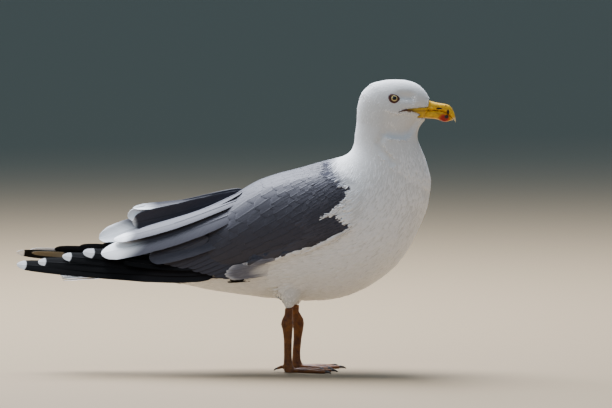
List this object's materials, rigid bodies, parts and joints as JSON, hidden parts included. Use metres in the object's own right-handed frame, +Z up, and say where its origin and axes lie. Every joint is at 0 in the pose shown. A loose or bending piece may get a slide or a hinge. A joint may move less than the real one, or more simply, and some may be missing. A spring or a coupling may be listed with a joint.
{
  "type": "seagull",
  "caption": "Yellow-legged gull standing at rest on webbed feet with folded wings: white head, body and tail, grey back and wings, black wing tips, hooked yellow bill.",
  "frame": {"origin": "on the floor, under the middle of the bird's length and breadth", "axes": "+X forward, towards the bill; +Y to the bird's left; +Z up"},
  "size_m": [0.5759, 0.1416, 0.383],
  "materials": {
    "plumage_white": "matte, soft white feathers",
    "plumage_grey": "matte, smooth grey feathers",
    "plumage_black": "satin, smooth black flight feathers",
    "bill_horn": "smooth yellow horn with a red spot",
    "eye": "wet gloss, pale yellow iris with a black pupil",
    "leg_skin": "scaly, satin yellow skin",
    "claw_horn": "smooth dark horn"
  },
  "bodies": {
    "root": {"trunk": "plumage_white", "neck": "plumage_white", "head": "plumage_white", "tail": "plumage_white", "thigh_right": "plumage_white", "thigh_left": "plumage_white", "wing_right": "plumage_grey", "tertials_right": "plumage_grey", "primaries_right": "plumage_black", "wing_left": "plumage_grey", "tertials_left": "plumage_grey", "primaries_left": "plumage_black", "bill_upper": "bill_horn", "bill_lower": "bill_horn", "eye_right": "eye", "eye_left": "eye", "shank_right": "leg_skin", "foot_right": "leg_skin", "claw_right_inner": "claw_horn", "claw_right_middle": "claw_horn", "claw_right_outer": "claw_horn", "claw_right_hallux": "claw_horn", "shank_left": "leg_skin", "foot_left": "leg_skin", "claw_left_inner": "claw_horn", "claw_left_middle": "claw_horn", "claw_left_outer": "claw_horn", "claw_left_hallux": "claw_horn"}
  },
  "joints": []
}
